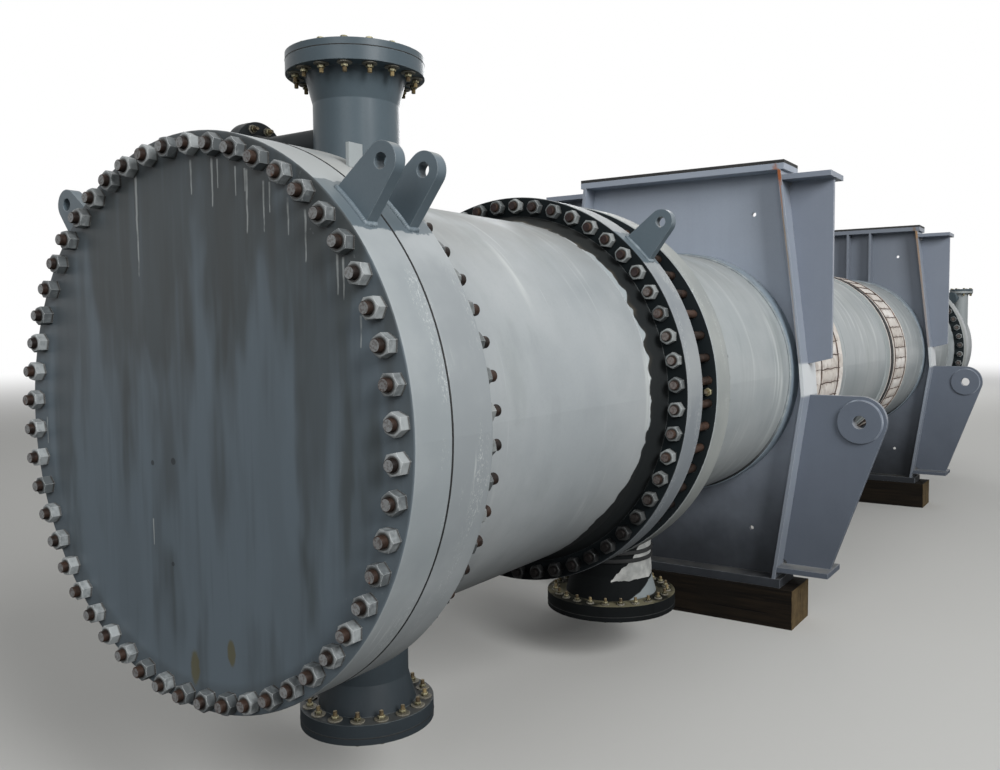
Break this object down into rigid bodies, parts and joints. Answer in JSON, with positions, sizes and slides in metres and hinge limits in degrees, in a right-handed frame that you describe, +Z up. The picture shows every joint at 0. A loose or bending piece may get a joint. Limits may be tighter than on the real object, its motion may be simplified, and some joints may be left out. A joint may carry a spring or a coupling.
{
  "type": "shell and tube heat exchanger",
  "caption": "Horizontal shell and tube heat exchanger with a bolted flat cover, flanged nozzles, lifting lugs and two stacking supports on timbers.",
  "frame": {"origin": "on the ground at the middle of the bounding box's footprint", "axes": "+X across the vessel, +Y along it from the flat cover to the rear head, +Z up"},
  "size_m": [2.62, 11.997, 2.918],
  "materials": {
    "cover_paint": "weathered satin paint with streaks",
    "barrel_paint": "weathered satin paint",
    "flange_paint": "dark primer, rusty at the studs",
    "nozzle_paint": "dark satin paint",
    "support_paint": "weathered satin paint with rust runs",
    "pad_eye_paint": "satin paint",
    "dark_steel": "dull dark steel and gasket",
    "bearing_strip": "dull black strip",
    "timber": "weathered sawn timber",
    "blanket": "dusty cloth with seams"
  },
  "bodies": {
    "root": {"channel_cover": "cover_paint", "cover_lugs": "barrel_paint", "cover_gasket": "dark_steel", "channel_front_flange": "barrel_paint", "channel_front_lugs": "barrel_paint", "rim_bracket": "barrel_paint", "channel_barrel": "barrel_paint", "channel_rear_flange": "flange_paint", "channel_rear_lugs": "barrel_paint", "top_nozzle": "nozzle_paint", "top_nozzle_blind": "nozzle_paint", "branch_nozzle": "nozzle_paint", "branch_blind": "nozzle_paint", "bottom_nozzle": "nozzle_paint", "bottom_nozzle_blind": "nozzle_paint", "girth_gaskets": "dark_steel", "tubesheet": "dark_steel", "shell_front_flange": "flange_paint", "shell_barrel": "barrel_paint", "shell_nozzle": "nozzle_paint", "shell_nozzle_blind": "nozzle_paint", "front_band": "blanket", "rear_band": "blanket", "shell_rear_flange": "flange_paint", "rear_gasket": "dark_steel", "bonnet_flange": "barrel_paint", "rear_bonnet": "barrel_paint", "rear_head": "barrel_paint", "rear_nozzle": "nozzle_paint", "rear_nozzle_blind": "nozzle_paint", "rear_branch": "nozzle_paint", "front_wear_ring": "support_paint", "front_web": "support_paint", "front_side_plates": "support_paint", "front_top_plate": "support_paint", "front_bearing_strip": "bearing_strip", "front_base_plate": "support_paint", "front_ribs": "support_paint", "front_wings": "support_paint", "front_pad_eyes": "pad_eye_paint", "front_timbers": "timber", "rear_wear_ring": "support_paint", "rear_web": "support_paint", "rear_side_plates": "support_paint", "rear_top_plate": "support_paint", "rear_bearing_strip": "bearing_strip", "rear_base_plate": "support_paint", "rear_ribs": "support_paint", "rear_wings": "support_paint", "rear_pad_eyes": "pad_eye_paint", "rear_timbers": "timber"}
  },
  "joints": []
}
